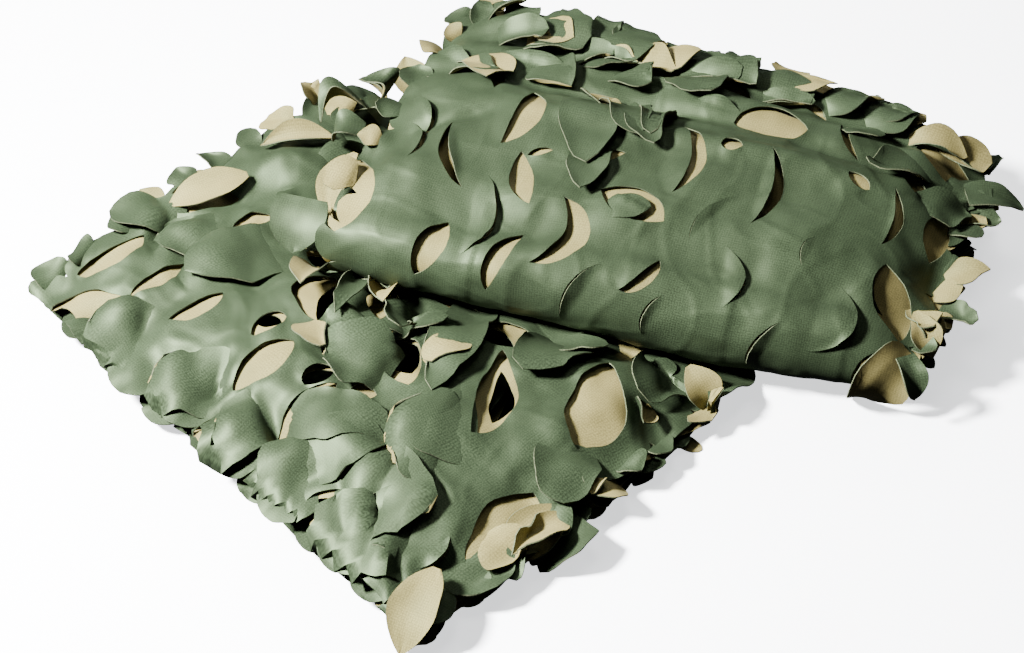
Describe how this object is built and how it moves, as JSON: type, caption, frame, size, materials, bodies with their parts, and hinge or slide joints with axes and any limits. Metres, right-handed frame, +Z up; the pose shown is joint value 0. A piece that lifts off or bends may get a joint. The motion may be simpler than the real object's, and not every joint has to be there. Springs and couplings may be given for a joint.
{
  "type": "camouflage net, folded",
  "caption": "Die-cut camouflage net, green on one face and tan on the other, folded back and forth into two overlapping bundles that lie flat on a surface.",
  "frame": {"origin": "middle of the pile's footprint, on the surface that it lies on", "axes": "+X to the right along the longer side of the pile, +Y to the back, +Z up"},
  "size_m": [0.8785, 0.6856, 0.1415],
  "materials": {
    "net_cloth": "woven, satin sheen, tan reverse"
  },
  "bodies": {
    "root": {"net": "net_cloth"}
  },
  "joints": []
}
